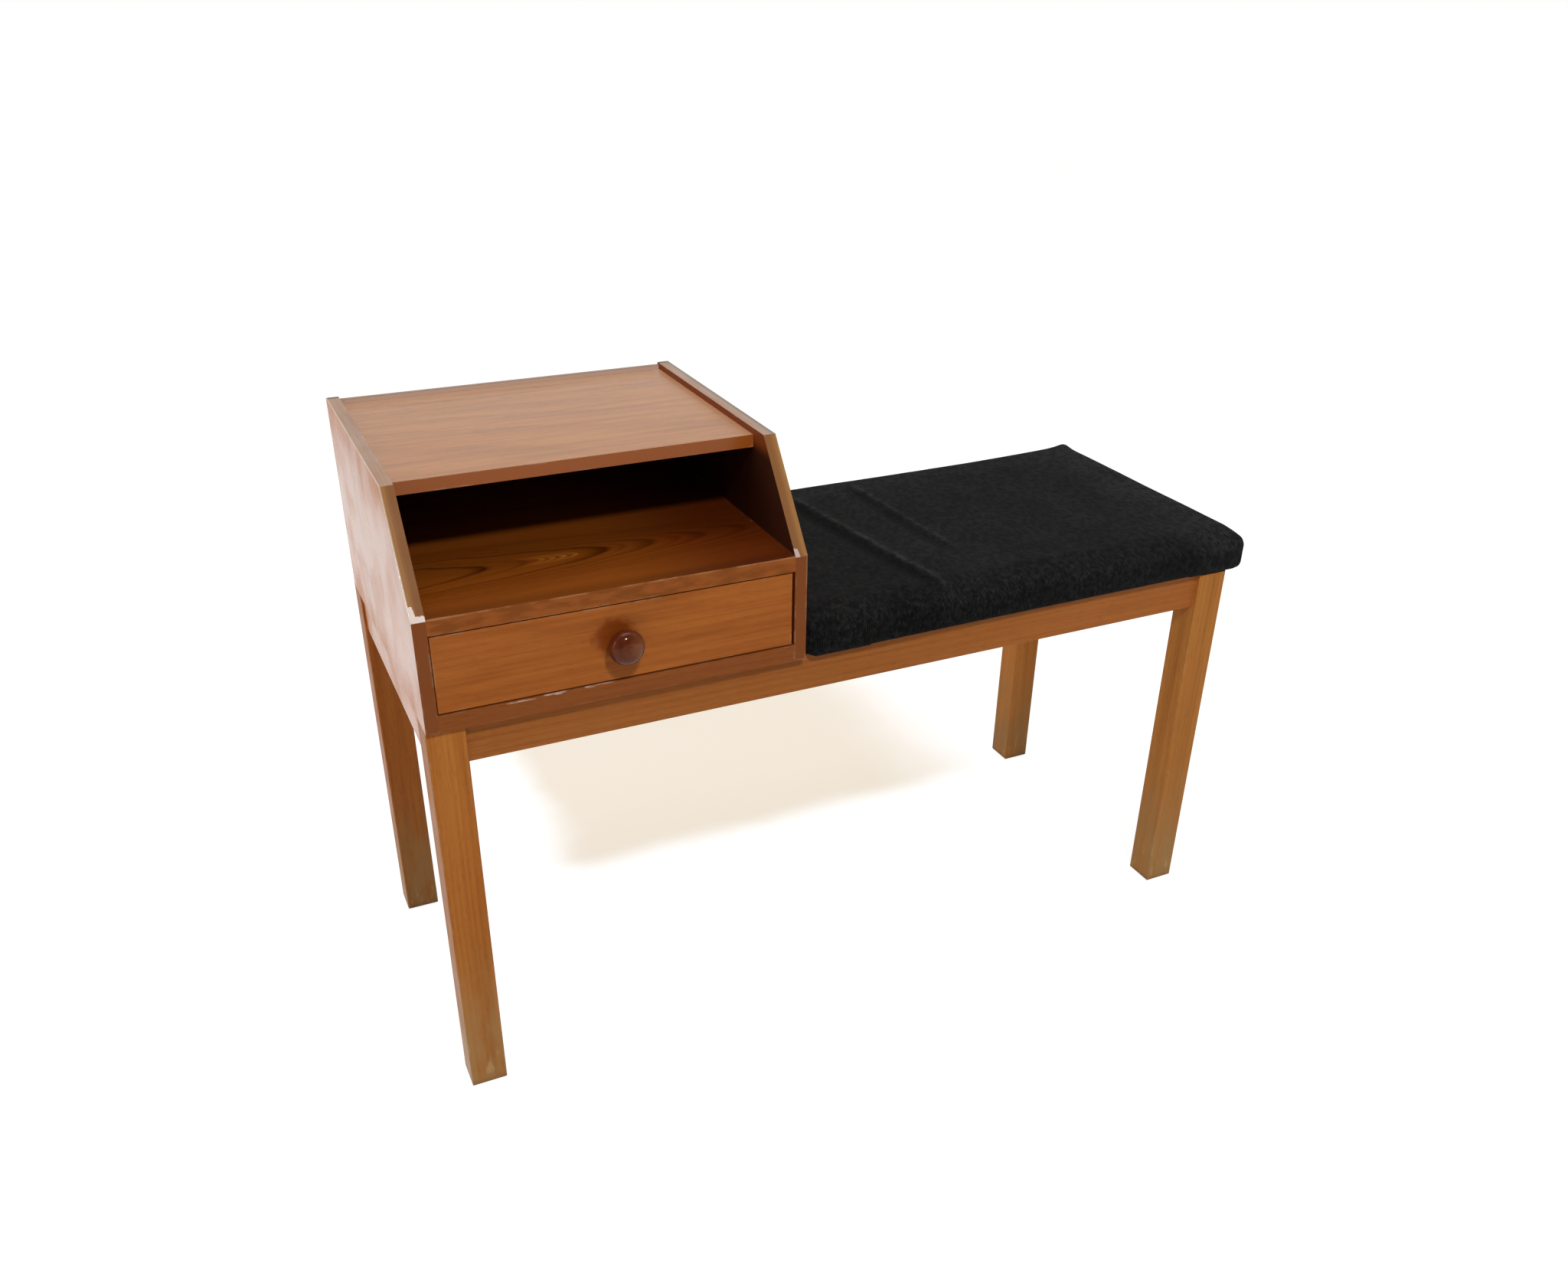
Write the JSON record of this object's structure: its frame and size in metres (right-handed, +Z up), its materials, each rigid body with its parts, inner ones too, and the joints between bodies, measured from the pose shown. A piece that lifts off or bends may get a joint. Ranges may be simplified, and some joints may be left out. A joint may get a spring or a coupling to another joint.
{
  "type": "telephone bench",
  "caption": "Low bench with a padded seat at one end and a small cabinet with sloping sides, an open shelf and a drawer at the other.",
  "frame": {"origin": "on the floor under the middle of the bench's whole box, knob and pad included", "axes": "+X along the bench from the cabinet to the seat, +Y to the back, +Z up"},
  "size_m": [0.9212, 0.3866, 0.627],
  "materials": {
    "teak_solid": "satin lacquered solid teak",
    "teak_veneer": "satin lacquered teak veneer with edge strips",
    "back_ply": "teak-faced plywood",
    "beech": "plain planed beech",
    "hardboard": "smooth brown hardboard",
    "knob_wood": "dark turned wood, polished",
    "screw_steel": "plain steel screws",
    "seat_ply": "plain plywood",
    "foam": "upholstery foam",
    "black_wool": "black woven wool, slightly felted"
  },
  "bodies": {
    "bench": {"leg_front_left": "teak_solid", "leg_front_right": "teak_solid", "leg_back_left": "teak_solid", "leg_back_right": "teak_solid", "rail_front": "teak_solid", "rail_back": "teak_solid", "rail_left": "teak_solid", "rail_right": "teak_solid", "cross_rail": "beech", "corner_blocks": "beech", "cabinet_screws": "screw_steel", "seat_screws": "screw_steel", "side_panel_left": "teak_veneer", "side_panel_right": "teak_veneer", "bottom_board": "teak_veneer", "shelf_board": "teak_veneer", "top_board": "teak_veneer", "back_panel": "back_ply", "cabinet_dowels": "beech", "drawer_stops": "beech", "seat_board": "seat_ply", "seat_foam": "foam", "seat_cover": "black_wool"},
    "drawer": {"drawer_front": "teak_veneer", "drawer_side_left": "beech", "drawer_side_right": "beech", "drawer_back": "beech", "drawer_bottom": "hardboard", "drawer_knob": "knob_wood", "knob_screw": "screw_steel"}
  },
  "joints": [
    {"name": "drawer_slide", "type": "slide", "parent": "bench", "child": "drawer", "axis": [0, -1, 0], "range_m": [0, 0.24]}
  ]
}
